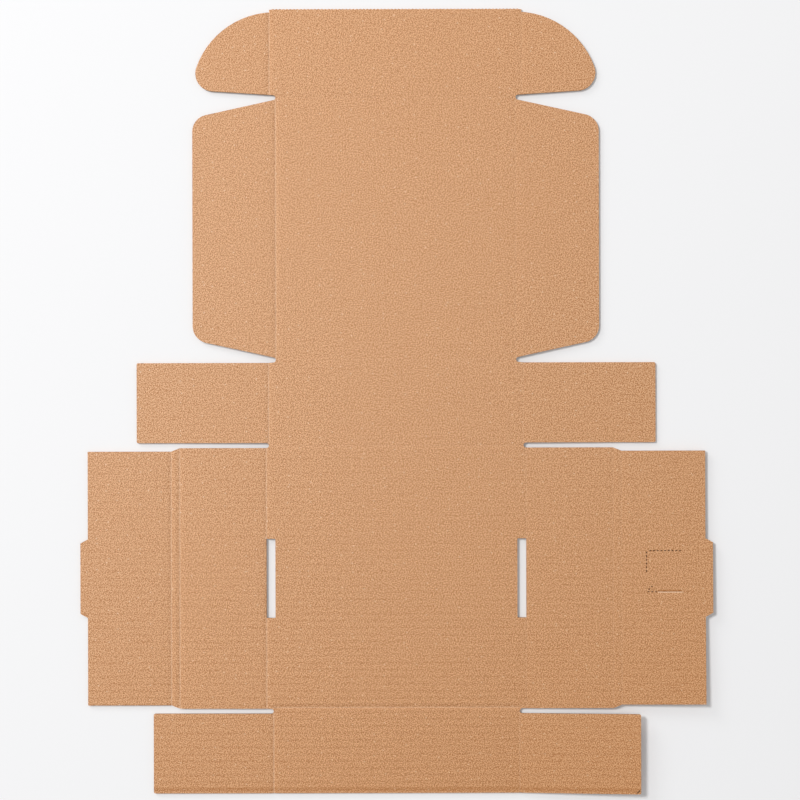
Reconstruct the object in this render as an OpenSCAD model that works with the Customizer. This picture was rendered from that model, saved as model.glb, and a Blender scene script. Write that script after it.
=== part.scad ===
// Flat blank of a self-locking mailing carton, die-cut and creased from one sheet of fine-flute board.
// It lies creased face up: tuck flap towards +Y, front wall towards -Y, underside of the base on Z = 0.
// The flutes run along X, so they end open at every cut edge that faces left or right.

/* [Board] */
// Thickness of the corrugated board
board_t = 1.6; // [1.2:0.1:2.4]
// Thickness of each flat liner
liner_t = 0.3; // [0.2:0.05:0.4]
// Thickness of the fluted paper between the liners
medium_t = 0.25; // [0.15:0.05:0.35]
// Distance from one flute to the next
flute_pitch = 3.3; // [2.5:0.1:4.5]
// Board crushed shut beside a crease, past the crease itself
crush_w = 1; // [0.4:0.1:3]

/* [Creases] */
// Width of a crease, from shoulder to shoulder
crease_w = 5; // [3:0.2:6]
// Depth of the creases on the left side and along the front wall
crease_d = 0.5; // [0.2:0.05:0.6]
// Depth of the fainter creases on the right side and across the back
faint_crease_d = 0.2; // [0.1:0.05:0.4]

/* [Cuts] */
// Width of the slits and notches between neighbouring flaps
slit_w = 2.4; // [1.6:0.1:4]
// Radius at the free corners of the wings
wing_corner_r = 0.8; // [0.4:0.1:3]

/* [Base] */
// Width of the base between its side creases
base_w = 122; // [100:1:160]
// Depth of the base between its back and front creases
base_d = 123.2; // [110:0.2:160]

/* [Walls] */
// Height of the back and front walls
wall_h = 40.2; // [30:0.2:60]
// How much narrower the back wall is than the base, on each side
back_inset = 1.2; // [0.6:0.1:3]
// How much narrower the front wall is than the base, on each side
front_inset = 3.2; // [2:0.1:5]
// Length of a back wing, from its crease to its end
back_wing_l = 62.1; // [40:0.1:70]
// How far the top edge of a back wing lies below the lid crease
back_wing_drop = 1.4; // [1.3:0.1:3]
// Length of a front wing, from its crease to its end
front_wing_l = 56.4; // [40:0.1:70]

/* [Roll-over side walls] */
// How much taller the outer side wall is than the back wall
side_gain = 0.6; // [0:0.1:2]
// How much shorter the inner side wall is than the back wall
inner_drop = 1; // [0:0.1:3]
// Room on top of the wall beyond two thicknesses of board
roll_play = 0.8; // [0.4:0.1:2]
// How far the side wall runs past the front crease
wall_over = 0.4; // [0.2:0.1:1]

/* [Lock] */
// Length of the lock tab along the inner wall
tab_w = 36.9; // [20:0.1:60]
// How far the lock tab stands out
tab_l = 3.5; // [2:0.1:6]
// Slope of each end of the lock tab, along the wall
tab_taper = 1.9; // [0.5:0.1:4]
// Spare length of the slot around the tab
tab_clear = 0.3; // [0.1:0.1:1]
// Spare width of the slot beyond two thicknesses of board
slot_play = 1; // [0.8:0.1:2]
// Radius in the corners of the slot
slot_r = 0.5; // [0.2:0.1:1]

/* [Lid] */
// How much narrower the lid is than the base, on each side
lid_inset = 4.6; // [3:0.1:7]
// How much deeper the lid is than the base
lid_gain = 0; // [0:0.1:3]
// Length of a lid flap, from its crease to its edge
lid_flap_l = 39.1; // [20:0.1:60]
// Slant of the two ends of a lid flap, in degrees
lid_flap_slant = 12.3; // [4:0.1:20]
// Radius at the corners of a lid flap
lid_flap_r = 8; // [3:0.5:15]

/* [Tuck flap] */
// How much taller the tuck flap is than the walls
tuck_gain = 1.5; // [0:0.1:4]
// How much narrower the tuck flap is than the base, on each side
tuck_inset = 1.7; // [0.5:0.1:4]
// Length of an ear, from its crease to its tip
ear_l = 34.7; // [26:0.1:45]
// Slant of the lower edge of an ear, in degrees
ear_slant = 3.8; // [1:0.1:10]
// Radius at the tip of an ear
ear_tip_r = 8.4; // [4:0.1:12]
// How far the ear lies below the top edge of the tuck flap
ear_step = 1.5; // [0.8:0.1:4]
// Distance from tooth to tooth along the serrated top edge
tooth_pitch = 1.64; // [1:0.02:4]
// Depth of the teeth
tooth_d = 0.3; // [0.2:0.1:0.8]

/* [Perforated mark on the right inner wall] */
// Width of the mark
mark_w = 16.4; // [10:0.1:20]
// Height of the mark
mark_h = 19.3; // [10:0.1:30]
// Distance from the roll-over crease to the mark
mark_in = 11.6; // [4:0.1:15]
// How far the middle of the mark lies from the middle of the lock tab, towards the back wall
mark_off = 3; // [-20:0.1:20]
// Distance from one perforation to the next
perf_pitch = 1.74; // [1.4:0.02:3]
// Length of one perforation
perf_l = 0.8; // [0.5:0.1:1.2]
// Width of one perforation
perf_w = 0.5; // [0.3:0.1:0.8]
// Width of the scored line that ends the mark
score_w = 2; // [1:0.1:3]
// Depth of the scored line
score_d = 0.25; // [0.1:0.05:0.3]

/* [Spring of the right flaps at rest] */
// Angle of the right side wall above flat
side_wall_lift = 1; // [0:0.1:6]
// Angle of the right front wing above flat
front_wing_lift = 6; // [0:0.1:8]

/* [Torn corner of the right front wing] */
// Length of the tear across the corner
tear_l = 2; // [1:0.1:4]
// Width of the tear
tear_w = 0.5; // [0.3:0.1:1]
// Distance of the tear from the corner, on each edge
tear_in = 1.2; // [1:0.1:3]

/* [Hidden] */
$fn = 48;

// Widths of the panels between their creases
back_w = base_w - 2 * back_inset;
front_w = base_w - 2 * front_inset;
lid_w = base_w - 2 * lid_inset;
tuck_w = base_w - 2 * tuck_inset;

// Heights of the panels, and the creases between them from the top edge down
tuck_h = wall_h + tuck_gain;
lid_d = base_d + lid_gain;
sheet_l = tuck_h + lid_d + wall_h + base_d + wall_h;
y_top = sheet_l / 2;
y_tuck = y_top - tuck_h;
y_lid = y_tuck - lid_d;
y_back = y_lid - wall_h;
y_front = y_back - base_d;
y_end = y_front - wall_h;

// Slits: one is centred on the back crease, the other lies just past the front crease
slit_r = slit_w / 2;
y_slit = y_front - wall_over - slit_r;

// Free end of a front wing
x_front_tip = front_w / 2 + front_wing_l;

// Side wall, from the base crease outwards
x_wall = base_w / 2;
x_roll = x_wall + wall_h + side_gain;
x_inner = x_roll + 2 * board_t + roll_play;
x_edge = x_inner + wall_h - inner_drop;
x_tab = x_edge + tab_l;
y_wall_top = y_back - slit_r;
y_wall_end = y_slit + slit_r;
y_wall_mid = (y_wall_top + y_wall_end) / 2;

// Lock slot: its outer side lies on the base crease, so that it takes the tab and two boards
slot_w = 2 * board_t + slot_play;
slot_l = tab_w + tab_clear;

// A distance past every edge of the sheet
far = 2 * x_tab;

// Perforated mark on the right inner wall
x_mark = x_inner + mark_in;
y_mark = y_wall_mid + mark_off;

// Notches beside the lid: round ends on the lid creases
x_notch = lid_w / 2 + slit_r;
x_flap = lid_w / 2 + lid_flap_l;

// Ear: a large arc about the foot of the ear runs into the small arc at its tip
x_ear = tuck_w / 2;
ear_r = tuck_h - ear_step - slit_r;
ear_tip = [x_ear + ear_l - ear_tip_r, ear_edge(x_ear + ear_l - ear_tip_r) + ear_tip_r / cos(ear_slant)];
ear_mid_y = y_top - ear_step - ear_r;
ear_mid = [ear_tip.x - sqrt(pow(ear_r - ear_tip_r, 2) - pow(ear_tip.y - ear_mid_y, 2)), ear_mid_y];
ear_way = (ear_tip - ear_mid) / norm(ear_tip - ear_mid);

// Flutes: the paper leaves a void under each crest and another over each trough
void_wide = 0.78 * flute_pitch;
void_narrow = 0.18 * flute_pitch;
void_low = liner_t;
void_high = board_t - liner_t;
void_h = void_high - void_low - medium_t;
void_step = flute_pitch / 2;
shut_w = crease_w / 2 + crush_w;

// Height of the fold line of the sprung flaps, at the foot of their creases
z_fold = board_t - faint_crease_d;

// Depth of a cut that runs through the board, and its start below the board
through = far;
below = -board_t;

// Height of the lower edge of an ear, and of the two ends of a lid flap, at a distance from the middle
function ear_edge(x) = y_tuck + slit_r / cos(ear_slant) + tan(ear_slant) * (x - x_notch);
function flap_top(x) = y_tuck - slit_r / cos(lid_flap_slant) - tan(lid_flap_slant) * (x - x_notch);
function flap_end(x) = y_lid + slit_r / cos(lid_flap_slant) + tan(lid_flap_slant) * (x - x_notch);
function ear_arc(x) = ear_mid.y + sqrt(pow(ear_r, 2) - pow(max(x - ear_mid.x, 0), 2));

// The points of a right-hand outline, followed by the same points on the left
function both_sides(points) = concat(
    points,
    [for (i = [len(points) - 1 : -1 : 0]) [-points[i].x, points[i].y]]
);

// The shape and its mirror image on the left of the sheet
module left_and_right() {
    children();
    mirror([1, 0, 0]) children();
}

// The sliver between a sharp corner and its round, to be cut away; the rays point along the two edges.
// It starts at the middle of the round and spills past both edges, so that nothing is left of the corner,
// and the round is a hair larger than its radius, so that it crosses the edges.
module corner_sliver(corner, ray_a, ray_b, r) {
    spill = 1.2;
    hair = 0.01;
    half = acos(ray_a * ray_b) / 2;
    reach = r / tan(half);
    middle = corner + (ray_a + ray_b) / norm(ray_a + ray_b) * r / sin(half);
    around = [corner + reach * ray_a, corner, corner + reach * ray_b];
    difference() {
        polygon(concat([middle], [for (point = around) middle + spill * (point - middle)]));
        translate(middle) circle(r + hair);
    }
}

// A slit with a round end, open towards +X
module slit(x, y) {
    translate([x + slit_r, y]) circle(slit_r);
    translate([x + slit_r, y - slit_r]) square([far, slit_w]);
}

module back_slit() slit(back_w / 2, y_back);

module front_slit() slit(front_w / 2, y_slit);

// The notch between an ear and a lid flap, out to a distance from the middle
module tuck_notch(x_out) {
    translate([x_notch, y_tuck]) circle(slit_r);
    polygon([
        [x_notch, y_tuck],
        [x_notch, y_tuck] + slit_r * [-sin(ear_slant), cos(ear_slant)],
        [x_out, ear_edge(x_out)],
        [x_out, flap_top(x_out)],
        [x_notch, y_tuck] + slit_r * [-sin(lid_flap_slant), -cos(lid_flap_slant)]
    ]);
}

// The notch between a lid flap and a back wing
module lid_notch() {
    translate([x_notch, y_lid]) circle(slit_r);
    polygon([
        [x_notch, y_lid],
        [x_notch, y_lid] + slit_r * [-sin(lid_flap_slant), cos(lid_flap_slant)],
        [far, flap_end(far)],
        [far, y_lid - back_wing_drop],
        [x_notch + slit_w, y_lid - back_wing_drop],
        [x_notch, y_lid - slit_r]
    ]);
}

module lock_slot() {
    translate([x_wall - slot_w, y_wall_mid - slot_l / 2])
        difference() {
            square([slot_w, slot_l]);
            corner_sliver([0, 0], [1, 0], [0, 1], slot_r);
            corner_sliver([0, slot_l], [1, 0], [0, -1], slot_r);
        }
}

// An ear, with a root that reaches into the tuck flap
module ear_outline() {
    x_root = x_notch;
    intersection() {
        union() {
            translate(ear_mid) circle(ear_r);
            translate([ear_mid.x - ear_r, ear_mid.y]) square(ear_r);
        }
        polygon([
            [x_root, ear_edge(x_root)],
            ear_tip + ear_tip_r * [sin(ear_slant), -cos(ear_slant)],
            ear_tip,
            ear_tip + ear_r * ear_way,
            [ear_tip.x + ear_r, y_top],
            [x_root, y_top]
        ]);
    }
    translate(ear_tip) circle(ear_tip_r);
}

// The tuck flap, cut along its top edge by a zigzag knife
module tuck_middle_outline() {
    teeth = floor((tuck_w - 2 * wing_corner_r) / tooth_pitch);
    start = -teeth * tooth_pitch / 2;
    foot = y_top - tooth_d;
    zigzag = [for (i = [0 : 2 * teeth]) [start + i * tooth_pitch / 2, i % 2 == 0 ? foot : y_top]];
    polygon(concat(zigzag, [[x_ear, foot], [x_ear, y_tuck], [-x_ear, y_tuck], [-x_ear, foot]]));
}

module tuck_outline() {
    difference() {
        union() {
            tuck_middle_outline();
            left_and_right() ear_outline();
        }
        left_and_right() tuck_notch(x_ear);
    }
}

module lid_outline() {
    slant = [-cos(lid_flap_slant), sin(lid_flap_slant)];
    difference() {
        translate([-x_flap, y_lid]) square([2 * x_flap, lid_d]);
        left_and_right() {
            tuck_notch(far);
            lid_notch();
            corner_sliver([x_flap, flap_top(x_flap)], slant, [0, -1], lid_flap_r);
            corner_sliver([x_flap, flap_end(x_flap)], [slant.x, -slant.y], [0, 1], lid_flap_r);
        }
    }
}

module back_outline() {
    x_tip = back_w / 2 + back_wing_l;
    difference() {
        translate([-x_tip, y_back]) square([2 * x_tip, wall_h]);
        left_and_right() {
            lid_notch();
            back_slit();
            corner_sliver([x_tip, y_lid - back_wing_drop], [-1, 0], [0, -1], wing_corner_r);
            corner_sliver([x_tip, y_back + slit_r], [-1, 0], [0, 1], wing_corner_r);
        }
    }
}

// The base with its roll-over side walls and their lock tabs
module base_outline() {
    difference() {
        polygon(both_sides([
            [x_roll, y_back],
            [x_roll, y_wall_top],
            [x_inner, y_wall_top - board_t],
            [x_edge, y_wall_top - board_t],
            [x_edge, y_wall_mid + tab_w / 2],
            [x_tab, y_wall_mid + tab_w / 2 - tab_taper],
            [x_tab, y_wall_mid - tab_w / 2 + tab_taper],
            [x_edge, y_wall_mid - tab_w / 2],
            [x_edge, y_wall_end + board_t],
            [x_inner, y_wall_end + board_t],
            [x_roll, y_wall_end],
            [x_roll, y_slit]
        ]));
        left_and_right() {
            back_slit();
            front_slit();
            lock_slot();
        }
    }
}

module front_outline() {
    difference() {
        translate([-x_front_tip, y_end]) square([2 * x_front_tip, y_slit - y_end]);
        left_and_right() {
            front_slit();
            corner_sliver([x_front_tip, y_slit - slit_r], [-1, 0], [0, -1], wing_corner_r);
            corner_sliver([x_front_tip, y_end], [-1, 0], [0, 1], wing_corner_r);
        }
    }
}

// A band of board lying flat
module flat_board() linear_extrude(board_t) children();

// A band of board lying flat, with its right flap sprung up about a crease
module sprung_board(x_bend, lift) {
    x_under = x_bend + z_fold * tan(lift / 2);
    x_over = x_under - board_t * tan(lift / 2);
    rise = (far - x_under) * tan(lift);
    intersection() {
        linear_extrude(far) children();
        translate([0, far, 0])
            rotate([90, 0, 0])
                linear_extrude(2 * far)
                    polygon([
                        [-far, 0],
                        [x_under, 0],
                        [far, rise],
                        [far, rise + board_t / cos(lift)],
                        [x_over, board_t],
                        [-far, board_t]
                    ]);
    }
}

// What lies on a flap that is sprung up about a crease
module sprung(x_bend, lift) {
    translate([x_bend, 0, z_fold])
        rotate([0, -lift, 0])
            translate([-x_bend, 0, -z_fold])
                children();
}

// Numbers of the voids that fit whole between two heights on the sheet, counted from its middle
function void_rows(y_from, y_to) = [
    for (i = [ceil((y_from + void_wide / 2) / void_step) : floor((y_to - void_wide / 2) / void_step)]) i
];

// Voids of the numbered rows, open from x_from out past the edge of the sheet
module flutes(x_from, rows) {
    translate([x_from, 0, 0])
        rotate([90, 0, 90])
            linear_extrude(far)
                for (i = rows) {
                    y = i * void_step;
                    foot = i % 2 == 0 ? void_low : void_high;
                    crest = i % 2 == 0 ? void_low + void_h : void_high - void_h;
                    polygon([
                        [y - void_wide / 2, foot],
                        [y + void_wide / 2, foot],
                        [y + void_narrow / 2, crest],
                        [y - void_narrow / 2, crest]
                    ]);
                }
}

// Flutes of the ear, the lid flap and the back wing on one side
module upper_flutes() {
    ear_open = x_ear + shut_w;
    flap_open = lid_w / 2 + shut_w;
    flutes(ear_open, void_rows(ear_edge(ear_open), ear_arc(ear_open)));
    flutes(flap_open, void_rows(flap_end(flap_open), flap_top(flap_open)));
    flutes(back_w / 2 + shut_w, void_rows(y_back + slit_r + liner_t, y_lid - back_wing_drop - liner_t));
}

// Flutes of an inner side wall; they are crushed shut around the perforated mark and open beyond it
module wall_flutes(marked) {
    rows = void_rows(y_wall_end + board_t + liner_t, y_wall_top - board_t - liner_t);
    mark_half = mark_h / 2 + perf_pitch;
    marked_rows = [for (i = rows) if (marked && abs(i * void_step - y_mark) < mark_half) i];
    plain_rows = [for (i = rows) if (!marked || abs(i * void_step - y_mark) >= mark_half) i];
    flutes(x_inner + shut_w, plain_rows);
    if (marked) flutes(x_mark + mark_w + crush_w, marked_rows);
}

module front_wing_flutes() {
    flutes(front_w / 2 + shut_w, void_rows(y_end + liner_t, y_slit - slit_r - liner_t));
}

// Points of one half of a crease, from its fold line out and up past the face: the shoulder falls ever
// steeper towards the fold line
function half_crease(depth, width) =
    let (shares = [0, 0.2, 0.45, 0.75])
    let (last = shares[len(shares) - 1])
    let (x_out = (2 - last) * width / 2)
    concat(
        [for (share = shares) [share * width / 2, depth - depth * pow(1 - share, 2)]],
        [[x_out, depth + depth * pow(1 - last, 2)], [x_out, depth + board_t]]
    );

// A point of a section turned up about the fold line
function turned(point, lift) = [
    point.x * cos(lift) - point.y * sin(lift),
    point.x * sin(lift) + point.y * cos(lift)
];

// A crease pressed into the face along +Y from a point; its right half follows a flap that is sprung up
module crease(at, length, depth, width = crease_w, lift = 0) {
    half = half_crease(depth, width);
    left = [for (i = [len(half) - 1 : -1 : 1]) [-half[i].x, half[i].y]];
    right = [for (point = half) turned(point, lift)];
    translate([at.x, at.y + length, board_t - depth])
        rotate([90, 0, 0])
            linear_extrude(length)
                polygon(concat(left, right));
}

// A crease along +X, centred on the sheet
module cross_crease(y, length, depth) {
    translate([0, y, 0])
        rotate(-90)
            crease([0, -length / 2], length, depth);
}

module roll_creases(depth) {
    for (x = [x_roll, x_inner])
        crease([x, y_wall_end - board_t], y_wall_top - y_wall_end + 2 * board_t, depth);
}

// The creases of the tuck flap, the lid and the back wall on one side
module upper_creases(depth) {
    crease([x_ear, y_tuck], tuck_h, depth);
    crease([lid_w / 2, y_lid], lid_d, depth);
    crease([back_w / 2, y_back], wall_h, depth);
}

// The creases of the base and the front wall on one side
module lower_creases(depth, wall_lift, wing_lift) {
    crease([x_wall, y_slit], y_back - y_slit, depth, lift = wall_lift);
    crease([front_w / 2, y_end - board_t], y_slit - y_end + board_t, depth, lift = wing_lift);
}

module cross_creases() {
    cross_crease(y_tuck, lid_w, faint_crease_d);
    cross_crease(y_lid, lid_w, faint_crease_d);
    cross_crease(y_back, back_w, faint_crease_d);
    cross_crease(y_front, front_w, crease_d);
}

// One knife cut of a perforation, centred on a point
module perforation(at, turn) {
    translate([at.x, at.y, below])
        rotate(turn)
            translate([-perf_l / 2, -perf_w / 2, 0])
                cube([perf_l, perf_w, through]);
}

// Perforated mark: a top row, a column down the near side, a short foot row with a tick, then a scored line
module perforated_mark() {
    top = y_mark + mark_h / 2;
    foot = y_mark - mark_h / 2;
    foot_cuts = 3;
    tick_turn = 45;
    score_from = x_mark + foot_cuts * perf_pitch;
    for (x = [x_mark + perf_pitch : perf_pitch : x_mark + mark_w])
        perforation([x, top], 0);
    for (y = [top - perf_pitch / 2 : -perf_pitch : y_mark])
        perforation([x_mark, y], 90);
    for (i = [0 : foot_cuts - 1])
        perforation([x_mark + (i + 0.5) * perf_pitch, foot], 0);
    for (i = [1, 2])
        perforation([x_mark, foot] + i * perf_pitch * [cos(tick_turn), sin(tick_turn)], tick_turn);
    sprung(x_wall, side_wall_lift)
        translate([0, foot, 0])
            rotate(-90)
                crease([0, score_from], x_mark + mark_w - score_from, score_d, score_w);
}

// The tear across the lower corner of the right front wing
module torn_corner() {
    translate([x_front_tip - tear_in, y_end + tear_in, below])
        rotate(45)
            translate([-tear_l / 2, -tear_w / 2, 0])
                cube([tear_l, tear_w, through]);
}

module box_blank() {
    color("#cf9f74")
        difference() {
            union() {
                flat_board() tuck_outline();
                flat_board() lid_outline();
                flat_board() back_outline();
                sprung_board(x_wall, side_wall_lift) base_outline();
                sprung_board(front_w / 2, front_wing_lift) front_outline();
            }
            left_and_right() upper_flutes();
            sprung(x_wall, side_wall_lift) {
                wall_flutes(true);
                roll_creases(faint_crease_d);
            }
            sprung(front_w / 2, front_wing_lift) front_wing_flutes();
            upper_creases(faint_crease_d);
            lower_creases(faint_crease_d, side_wall_lift, front_wing_lift);
            mirror([1, 0, 0]) {
                wall_flutes(false);
                roll_creases(crease_d);
                front_wing_flutes();
                upper_creases(crease_d);
                lower_creases(crease_d, 0, 0);
            }
            cross_creases();
            perforated_mark();
            torn_corner();
        }
}

box_blank();
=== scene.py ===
import math

import bpy
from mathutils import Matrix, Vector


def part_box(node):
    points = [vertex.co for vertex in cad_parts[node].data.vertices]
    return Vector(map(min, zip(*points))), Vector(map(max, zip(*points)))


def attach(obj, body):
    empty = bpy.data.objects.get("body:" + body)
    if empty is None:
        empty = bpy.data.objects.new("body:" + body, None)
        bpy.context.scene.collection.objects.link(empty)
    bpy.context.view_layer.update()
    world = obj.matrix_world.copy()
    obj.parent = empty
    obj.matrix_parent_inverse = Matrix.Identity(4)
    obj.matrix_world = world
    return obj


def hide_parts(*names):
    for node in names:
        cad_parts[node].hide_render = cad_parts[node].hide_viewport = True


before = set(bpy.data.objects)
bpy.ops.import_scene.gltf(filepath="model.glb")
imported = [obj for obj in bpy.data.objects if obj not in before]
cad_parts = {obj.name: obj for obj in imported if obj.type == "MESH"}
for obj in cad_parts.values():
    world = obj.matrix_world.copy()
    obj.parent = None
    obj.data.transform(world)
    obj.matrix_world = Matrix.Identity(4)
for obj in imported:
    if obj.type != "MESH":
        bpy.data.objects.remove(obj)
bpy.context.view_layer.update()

# Blank
# One sheet of fine-flute corrugated board: two kraft liners glued to a fluted paper.
# It is die-cut and creased flat in one stroke, and lies creased face up.
MM = 0.001
merge = 0.001 * MM
flute_pitch = 3.3 * MM
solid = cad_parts["box_blank"]
low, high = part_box("box_blank")
blank = bpy.data.objects.new("kraft_blank", solid.data.copy())
bpy.context.scene.collection.objects.link(blank)
bpy.ops.object.select_all(action="DESELECT")
blank.select_set(True)
bpy.context.view_layer.objects.active = blank
bpy.ops.object.mode_set(mode="EDIT")
bpy.ops.mesh.select_all(action="SELECT")
bpy.ops.mesh.customdata_custom_splitnormals_clear()
bpy.ops.mesh.remove_doubles(threshold=merge)
bpy.ops.mesh.dissolve_limited(angle_limit=math.radians(0.4))

# The small cuts of the mark on the right, and the tear in the front right corner, don't show the table:
# their walls are wedged together at the foot, so each is a narrow funnel of crushed fibres.
mark_left = 110 * MM
mark_right = 134 * MM
mark_front = -95 * MM
mark_back = -65 * MM
tear_left = 112 * MM
tear_right = 113.6 * MM
tear_front = -184 * MM
tear_back = -182.5 * MM
long_wall = 1 * MM ** 2
short_wall = 0.5 * MM ** 2
wedge_across = 0.22 * MM
wedge_along = 0.32 * MM
bpy.ops.mesh.select_mode(type="FACE")
bpy.ops.object.mode_set(mode="OBJECT")
funnels = []
for polygon in blank.data.polygons:
    x, y, z = polygon.center
    marked = mark_left < x < mark_right and mark_front < y < mark_back
    torn = tear_left < x < tear_right and tear_front < y < tear_back
    if (marked or torn) and abs(polygon.normal.z) < 0.1 and polygon.area > short_wall:
        inward = polygon.normal * (wedge_across if polygon.area > long_wall else wedge_along)
        foot = [v for v in polygon.vertices if blank.data.vertices[v].co.z < z]
        funnels.append((polygon.index, foot, inward))
for wall, foot, inward in funnels:
    for index in foot:
        blank.data.vertices[index].co += inward

# The two skins are all that joins smoothly to a wide face, steep faces apart.
# The rest is cut edge and fluting.
wide_face = 200 * MM ** 2
for polygon in blank.data.polygons:
    polygon.select = abs(polygon.normal.z) > 0.9 and polygon.area > wide_face
    polygon.hide = abs(polygon.normal.z) < 0.6
bpy.ops.object.mode_set(mode="EDIT")
bpy.ops.mesh.faces_select_linked_flat(sharpness=math.radians(40))
bpy.ops.object.mode_set(mode="OBJECT")
blank.data.materials.clear()
for name in ("kraft_liner", "fluting_paper", "crushed_fibres_and_shade"):
    blank.data.materials.append(bpy.data.materials.new(name))
for polygon in blank.data.polygons:
    polygon.material_index = 0 if polygon.select else 1
    polygon.hide = False
# The funnel walls take the dark fibre paint, which is partly painted shade of the narrow cuts.
for wall, foot, inward in funnels:
    blank.data.polygons[wall].material_index = 2

# Both skins get edges to bend at: lines where each side of the sheet's bow starts and ends, and four rows
# to a flute, over its tip, halfway down, between two tips and halfway up.
bow_fold = 61 * MM
bow_edge = 105 * MM
row_step = flute_pitch / 4
bpy.ops.object.mode_set(mode="EDIT")
bpy.ops.mesh.reveal()
for bend in (-bow_edge, -bow_fold, bow_fold, bow_edge):
    bpy.ops.mesh.select_all(action="SELECT")
    bpy.ops.mesh.bisect(plane_co=(bend, 0, 0), plane_no=(1, 0, 0), threshold=merge)
for row in range(math.ceil(low.y / row_step), math.floor(high.y / row_step) + 1):
    bpy.ops.mesh.select_all(action="SELECT")
    bpy.ops.mesh.bisect(plane_co=(0, row * row_step, 0), plane_no=(0, 1, 0), threshold=merge)
bpy.ops.object.mode_set(mode="OBJECT")

# How sharply the liner is folded at each point left of the mark: 0 on the flat, 1 at the foot
# of a deep crease.
skin = [p for p in blank.data.polygons if p.material_index == 0 and p.normal.z > 0]
fold = blank.data.attributes.new("fold", "FLOAT", "POINT")
deep_fold = math.radians(40)
beside = {}
for polygon in skin:
    for edge in polygon.edge_keys:
        other = beside.get(edge)
        if other and polygon.center.x < mark_left and (polygon.center - other.center).dot(other.normal) > 0:
            share = min(1, polygon.normal.angle(other.normal) / deep_fold) ** 2
            for index in edge:
                fold.data[index].value = max(fold.data[index].value, share)
        beside[edge] = polygon

# The scored line of the mark is marked 1 on its back slope, burnished brown and partly painted shade, as
# that slope faces away from the light, and -1 on its front one, scuffed pale and partly a painted highlight,
# as that slope faces the light.
score_burnish_and_light = blank.data.attributes.new("score_burnish_and_light", "FLOAT", "FACE")
for polygon in skin:
    if polygon.center.x > mark_left and (polygon.normal.y < -0.05 or polygon.normal.y > 0.2):
        score_burnish_and_light.data[polygon.index].value = -math.copysign(1, polygon.normal.y)

# Between the flutes the upper liner has sunk a little as the glue dried, most of all near the front,
# and the knife has pressed the front edge down.
sink_back = 0.03 * MM
sink_front = 0.15 * MM
droop = 0.15 * MM
droop_width = 2.2 * MM
for index in {v for polygon in skin for v in polygon.vertices}:
    vertex = blank.data.vertices[index]
    from_front = vertex.co.y - low.y
    share = 1 - from_front / (high.y - low.y)
    sink = sink_back + (sink_front - sink_back) * share ** 2
    vertex.co.z -= sink * (1 - math.cos(2 * math.pi * vertex.co.y / flute_pitch)) / 2
    vertex.co.z -= droop * max(0, 1 - from_front / droop_width) ** 2

# The middle panels lie a millimetre clear of the table, with the outer edges touching it.
# The right wall is twisted up towards the front, which draws its front edge back a little.
bow = 1 * MM
twist = 3 * MM
draw_back = 0.13
wall_back = -23 * MM
wall_front = -144 * MM
for vertex in blank.data.vertices:
    x, y = vertex.co.x, vertex.co.y
    level = max(0, min(1, (bow_edge - abs(x)) / (bow_edge - bow_fold)))
    vertex.co.z += bow * level * (1 - (y / high.y) ** 4)
    if x > bow_fold and wall_front - MM < y < wall_back + MM:
        lift = twist * (x - bow_fold) / (high.x - bow_fold)
        lift *= ((wall_back - y) / (wall_back - wall_front)) ** 2
        vertex.co.z += lift
        vertex.co.y += lift * draw_back
bpy.ops.object.shade_smooth_by_angle(angle=math.radians(35))


def srgb(hex_colour):
    levels = [int(hex_colour[i:i + 2], 16) / 255 for i in (1, 3, 5)]
    return [c / 12.92 if c <= 0.04045 else ((c + 0.055) / 1.055) ** 2.4 for c in levels] + [1]


def add(tree, kind, inputs=(), **settings):
    node = tree.nodes.new("ShaderNode" + kind)
    for name, value in settings.items():
        setattr(node, name, value)
    for key, value in dict(inputs).items():
        if isinstance(value, bpy.types.NodeSocket):
            tree.links.new(value, node.inputs[key])
        else:
            node.inputs[key].default_value = value
    return node


# Brown kraft liner, uncoated and machine-dried: dead matt, with a fine salt-and-pepper grain of fibres,
# a few dark and pale specks, and a browner, darker tone towards the front right, partly painted shade.
kraft = bpy.data.materials["kraft_liner"]
kraft.use_nodes = True
tree = kraft.node_tree
shader = tree.nodes["Principled BSDF"]
shader.inputs["Roughness"].default_value = 0.9
shader.inputs["Specular IOR Level"].default_value = 0.2
place = add(tree, "TexCoord").outputs["Object"]

# Browner and darker towards the front right corner, 0 at the back left and 1 at the front right, partly the
# liner's own tone and partly painted shade where the lamps' light falls off; browner towards both ends too.
drift = add(tree, "VectorMath", {0: place, 1: (0.83, -0.56, 0)}, operation="DOT_PRODUCT").outputs["Value"]
drift = add(tree, "MapRange", {"Value": drift, "From Min": -0.2, "From Max": 0.2}).outputs["Result"]
along = add(tree, "SeparateXYZ", {"Vector": place}).outputs["Y"]
ends = add(tree, "Math", {0: along, 1: high.y}, operation="DIVIDE").outputs["Value"]
ends = add(tree, "Math", {0: ends, 1: 2}, operation="POWER").outputs["Value"]

# Fibres lie 0.05 mm wide and 1 to 3 mm long; drawn as 0.46 mm grains, the finest that a whole view shows,
# and askew, so that they stand in no rows with the flutes.
grain_size = 0.46 * MM
askew = add(tree, "VectorRotate", {"Vector": place, "Axis": (1, 1, 1), "Angle": 0.6}).outputs["Vector"]
grain = {"Vector": askew, "Scale": 1 / grain_size, "Detail": 1, "Roughness": 0.6}
grain = add(tree, "TexNoise", grain, noise_dimensions="2D").outputs["Fac"]
spread = add(tree, "MapRange", {"Value": drift, "To Min": 4, "To Max": 6}).outputs["Result"]
grain = add(tree, "Math", {0: grain, 1: 0.5}, operation="SUBTRACT").outputs["Value"]
grain = add(tree, "Math", {0: grain, 1: spread, 2: 0.5}, operation="MULTIPLY_ADD").outputs["Value"]

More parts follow.
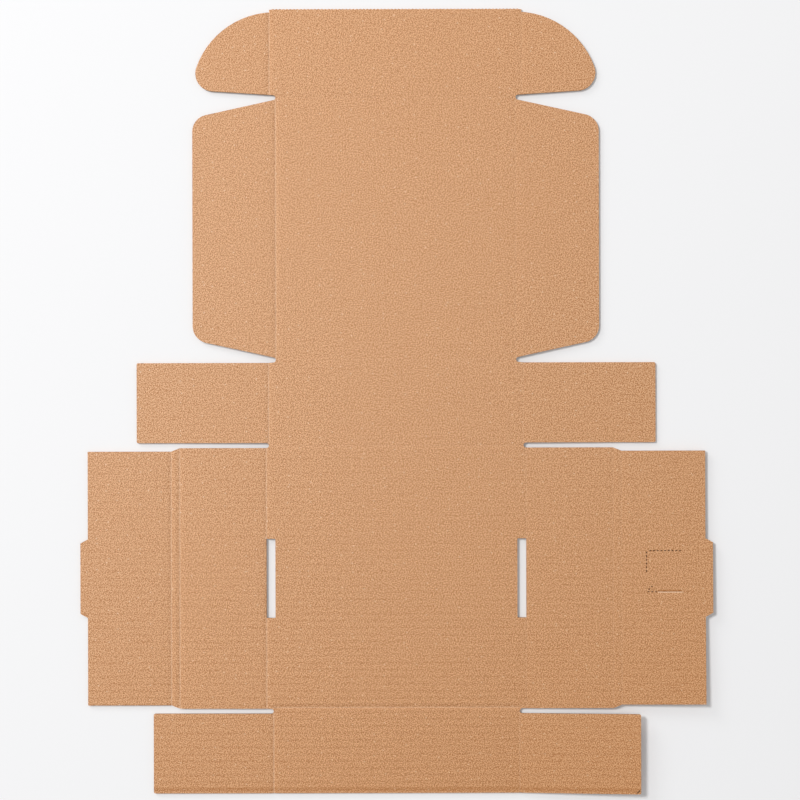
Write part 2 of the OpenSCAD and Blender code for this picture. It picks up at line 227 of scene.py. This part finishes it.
# The pulp settles in faint clouds about 3 mm wide.
cloud_size = 3 * MM
cloud = {"Vector": askew, "Scale": 1 / cloud_size, "Detail": 2, "Roughness": 0.7}
cloud = add(tree, "TexNoise", cloud).outputs["Fac"]
cloud = add(tree, "Math", {0: cloud, 1: 0.5}, operation="SUBTRACT").outputs["Value"]
grain = add(tree, "Math", {0: cloud, 1: 0.14, 2: grain}, operation="MULTIPLY_ADD").outputs["Value"]

# Thin brown dashes down the front side of the flutes, about 9 mm long, plainer towards the front edge:
# partly a browning of the liner, partly painted shade on the side of each flute that faces away from the
# light.
dash_length = 9 * MM
dash = {0: place, 1: (1 / dash_length, 1 / flute_pitch, 0)}
dash = add(tree, "VectorMath", dash, operation="MULTIPLY").outputs["Vector"]
dash = add(tree, "TexNoise", {"Vector": dash, "Scale": 1, "Detail": 2}).outputs["Fac"]
dash = {"Value": dash, "From Min": 0.35, "From Max": 0.65, "To Max": 2}
dash = add(tree, "MapRange", dash).outputs["Result"]
turn = add(tree, "Math", {0: along, 1: 2 * math.pi / flute_pitch}, operation="MULTIPLY").outputs["Value"]
line = add(tree, "Math", {0: turn}, operation="SINE").outputs["Value"]
line = add(tree, "MapRange", {"Value": line, "From Min": 1, "From Max": -1}).outputs["Result"]
line = add(tree, "Math", {0: line, 1: 4}, operation="POWER").outputs["Value"]
line = add(tree, "Math", {0: line, 1: dash}, operation="MULTIPLY").outputs["Value"]
# How far the dashes darken the grain, partly painted shade, strongest near the front edge.
dash_shade_depth = {"Value": along, "From Min": 0.05, "From Max": -0.13, "To Min": -0.01, "To Max": -0.115}
dash_shade_depth = add(tree, "MapRange", dash_shade_depth).outputs["Result"]
shade = {0: line, 1: dash_shade_depth, 2: grain}
shade = add(tree, "Math", shade, operation="MULTIPLY_ADD", use_clamp=True).outputs["Value"]
tone = {"Factor": shade, "A": srgb("#b98256"), "B": srgb("#efc29d")}
tone = add(tree, "Mix", tone, data_type="RGBA").outputs["Result"]

# Specks of bark, and fewer of bleached fibre, about 0.5 mm wide and four to every square centimetre.
speck_step = 5 * MM
speck = add(tree, "TexVoronoi", {"Vector": place, "Scale": 1 / speck_step}, voronoi_dimensions="2D")
spot = {"Value": speck.outputs["Distance"], "From Min": 0.03, "From Max": 0.07, "To Min": 0.7, "To Max": 0}
spot = add(tree, "MapRange", spot).outputs["Result"]
bleached = add(tree, "SeparateColor", {"Color": speck.outputs["Color"]}).outputs["Red"]
bleached = add(tree, "Math", {0: bleached, 1: 0.7}, operation="GREATER_THAN").outputs["Value"]
fleck = {"Factor": bleached, "A": srgb("#9a6538"), "B": srgb("#fbe6d0")}
fleck = add(tree, "Mix", fleck, data_type="RGBA").outputs["Result"]
tone = add(tree, "Mix", {"Factor": spot, "A": tone, "B": fleck}, data_type="RGBA").outputs["Result"]

# Painted shade together with the liner's own drift: the tone is multiplied darker and browner towards the
# front right.
tone_drift_and_shade = {"Factor": drift, "A": srgb("#ffffff"), "B": srgb("#ebe2d2")}
tone_drift_and_shade = add(tree, "Mix", tone_drift_and_shade, data_type="RGBA").outputs["Result"]
tone = {"Factor": 1, "A": tone, "B": tone_drift_and_shade}
tone = add(tree, "Mix", tone, data_type="RGBA", blend_type="MULTIPLY").outputs["Result"]
tone = {"Factor": ends, "A": tone, "B": srgb("#fcf8f2")}
tone = add(tree, "Mix", tone, data_type="RGBA", blend_type="MULTIPLY").outputs["Result"]

# Along the front edge the last flute is darkened to brown in a band 2 mm wide: partly burnished by the
# knife, partly painted shade on the flute's slope that faces away from the light.
burnish_and_shade_middle = low.y + 1.9 * MM
burnish_and_shade = add(tree, "Math", {0: along, 1: burnish_and_shade_middle}, operation="SUBTRACT").outputs["Value"]
burnish_and_shade = add(tree, "Math", {0: burnish_and_shade}, operation="ABSOLUTE").outputs["Value"]
burnish_and_shade = {"Value": burnish_and_shade, "From Min": 1.2 * MM, "From Max": 0.8 * MM, "To Max": 0.25}
burnish_and_shade = add(tree, "MapRange", burnish_and_shade).outputs["Result"]
tone = {"Factor": burnish_and_shade, "A": tone, "B": srgb("#a0622a")}
tone = add(tree, "Mix", tone, data_type="RGBA").outputs["Result"]

# Stretched fibres show as a pale line along the foot of each crease, partly a painted highlight standing in
# for the crease flank that faces the light.
# The scored line is burnished brown on its back slope and scuffed pale on its front one, both partly
# painted: shade on the slope turned from the light, a highlight on the slope turned to it.
fold_pale_and_highlight = add(tree, "Attribute", attribute_name="fold").outputs["Fac"]
fold_pale_and_highlight = add(tree, "Math", {0: fold_pale_and_highlight, 1: 0.26}, operation="MULTIPLY").outputs["Value"]
tone = {"Factor": fold_pale_and_highlight, "A": tone, "B": srgb("#f6dcc2")}
tone = add(tree, "Mix", tone, data_type="RGBA").outputs["Result"]
score_paint = add(tree, "Attribute", attribute_name="score_burnish_and_light").outputs["Fac"]
brown = add(tree, "Math", {0: score_paint, 1: 0.5}, operation="MULTIPLY", use_clamp=True).outputs["Value"]
tone = {"Factor": brown, "A": tone, "B": srgb("#a0622a")}
tone = add(tree, "Mix", tone, data_type="RGBA").outputs["Result"]
pale = add(tree, "Math", {0: score_paint, 1: -0.5}, operation="MULTIPLY", use_clamp=True).outputs["Value"]
tone = {"Factor": pale, "A": tone, "B": srgb("#f6dcc2")}
tone = add(tree, "Mix", tone, data_type="RGBA").outputs["Result"]
tree.links.new(tone, shader.inputs["Base Color"])

# Fibres stand up here and there, which makes the face look like felt in a low light.
felt_size = 0.6 * MM
felt = {"Vector": askew, "Scale": 1 / felt_size, "Detail": 1, "Roughness": 0.6}
felt = add(tree, "TexNoise", felt).outputs["Fac"]
bump = add(tree, "Bump", {"Height": felt, "Strength": 1, "Distance": 0.3 * MM}).outputs["Normal"]
tree.links.new(bump, shader.inputs["Normal"])

# The raw inside of the board is rougher than the liner. Cut edge and fluting paper are a little greyer,
# and the walls of the small cuts are darker: partly crushed fibres, where liner and fluting are pressed
# together, partly painted shade of a narrow deep cut that traps the light.
fibre_size = 0.4 * MM
raw_papers = (("fluting_paper", "#95704d", "#bd9470"), ("crushed_fibres_and_shade", "#6e4526", "#9a6a42"))
for name, dark, light in raw_papers:
    raw = bpy.data.materials[name]
    raw.use_nodes = True
    tree = raw.node_tree
    shader = tree.nodes["Principled BSDF"]
    shader.inputs["Roughness"].default_value = 0.95
    shader.inputs["Specular IOR Level"].default_value = 0.1
    place = add(tree, "TexCoord").outputs["Object"]
    fibres = add(tree, "TexNoise", {"Vector": place, "Scale": 1 / fibre_size, "Detail": 2}).outputs["Fac"]
    tone = {"Factor": fibres, "A": srgb(dark), "B": srgb(light)}
    tone = add(tree, "Mix", tone, data_type="RGBA").outputs["Result"]
    tree.links.new(tone, shader.inputs["Base Color"])

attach(blank, "root")
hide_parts("box_blank")

# Table
# A plain sheet of white paper under the blank, laid loose.
# It is lit up to full white beyond the reach of the lamps, for the camera alone.
bpy.ops.object.select_all(action="DESELECT")
bpy.ops.mesh.primitive_plane_add(size=12, location=(0, 0, -0.2 * MM))
table = bpy.context.object
table.name = "table"
paper = bpy.data.materials.new("white_paper")
paper.use_nodes = True
tree = paper.node_tree
shader = tree.nodes["Principled BSDF"]
shader.inputs["Base Color"].default_value = srgb("#f0f0f1")
shader.inputs["Roughness"].default_value = 0.9
shader.inputs["Specular IOR Level"].default_value = 0.1
place = add(tree, "TexCoord").outputs["Object"]
away = add(tree, "VectorMath", {0: place}, operation="LENGTH").outputs["Value"]
away = add(tree, "MapRange", {"Value": away, "From Min": 0.4, "From Max": 2}).outputs["Result"]
seen = add(tree, "LightPath").outputs["Is Camera Ray"]
glow = add(tree, "Math", {0: away, 1: seen}, operation="MULTIPLY").outputs["Value"]
tree.links.new(glow, shader.inputs["Emission Strength"])
shader.inputs["Emission Color"].default_value = (1, 1, 1, 1)
table.data.materials.append(paper)

# Light
# One softbox up to the left at the back, a low strip that grazes the creases from the same corner,
# a panel overhead that reaches down into the slits, and a white tent all round.
bpy.ops.object.light_add(type="AREA", location=(-1.37, 0.9, 3.1))
softbox = bpy.context.object
softbox.name = "softbox"
softbox.data.energy = 66
softbox.data.size = 0.7
softbox.rotation_euler = softbox.location.to_track_quat("Z", "Y").to_euler()
bpy.ops.object.light_add(type="AREA", location=(-1.22, 1.22, 1))
strip = bpy.context.object
strip.name = "low_strip"
strip.data.energy = 8
strip.data.size = 0.8
strip.rotation_euler = strip.location.to_track_quat("Z", "Y").to_euler()
bpy.ops.object.light_add(type="AREA", location=(0, 0, 3))
panel = bpy.context.object
panel.name = "overhead_panel"
panel.data.energy = 17
panel.data.size = 1
world = bpy.data.worlds.new("tent")
bpy.context.scene.world = world
world.use_nodes = True
tree = world.node_tree
seen = add(tree, "LightPath").outputs["Is Camera Ray"]
level = add(tree, "MapRange", {"Value": seen, "To Min": 0.29, "To Max": 1}).outputs["Result"]
tree.links.new(level, tree.nodes["Background"].inputs["Strength"])
tree.nodes["Background"].inputs["Color"].default_value = (1, 1, 1, 1)

# Camera
# It hangs over the middle of the table, 1.1 m up, and looks straight down.
# A long lens keeps the sheet's edges square, with hardly any perspective.
bpy.ops.object.camera_add(location=(0.00185, 0.0004, 1.1), rotation=(0, 0, math.radians(-0.13)))
camera = bpy.context.object
camera.data.sensor_width = 36
camera.data.lens = 105.2
bpy.context.scene.camera = camera
bpy.context.scene.view_settings.view_transform = "Standard"
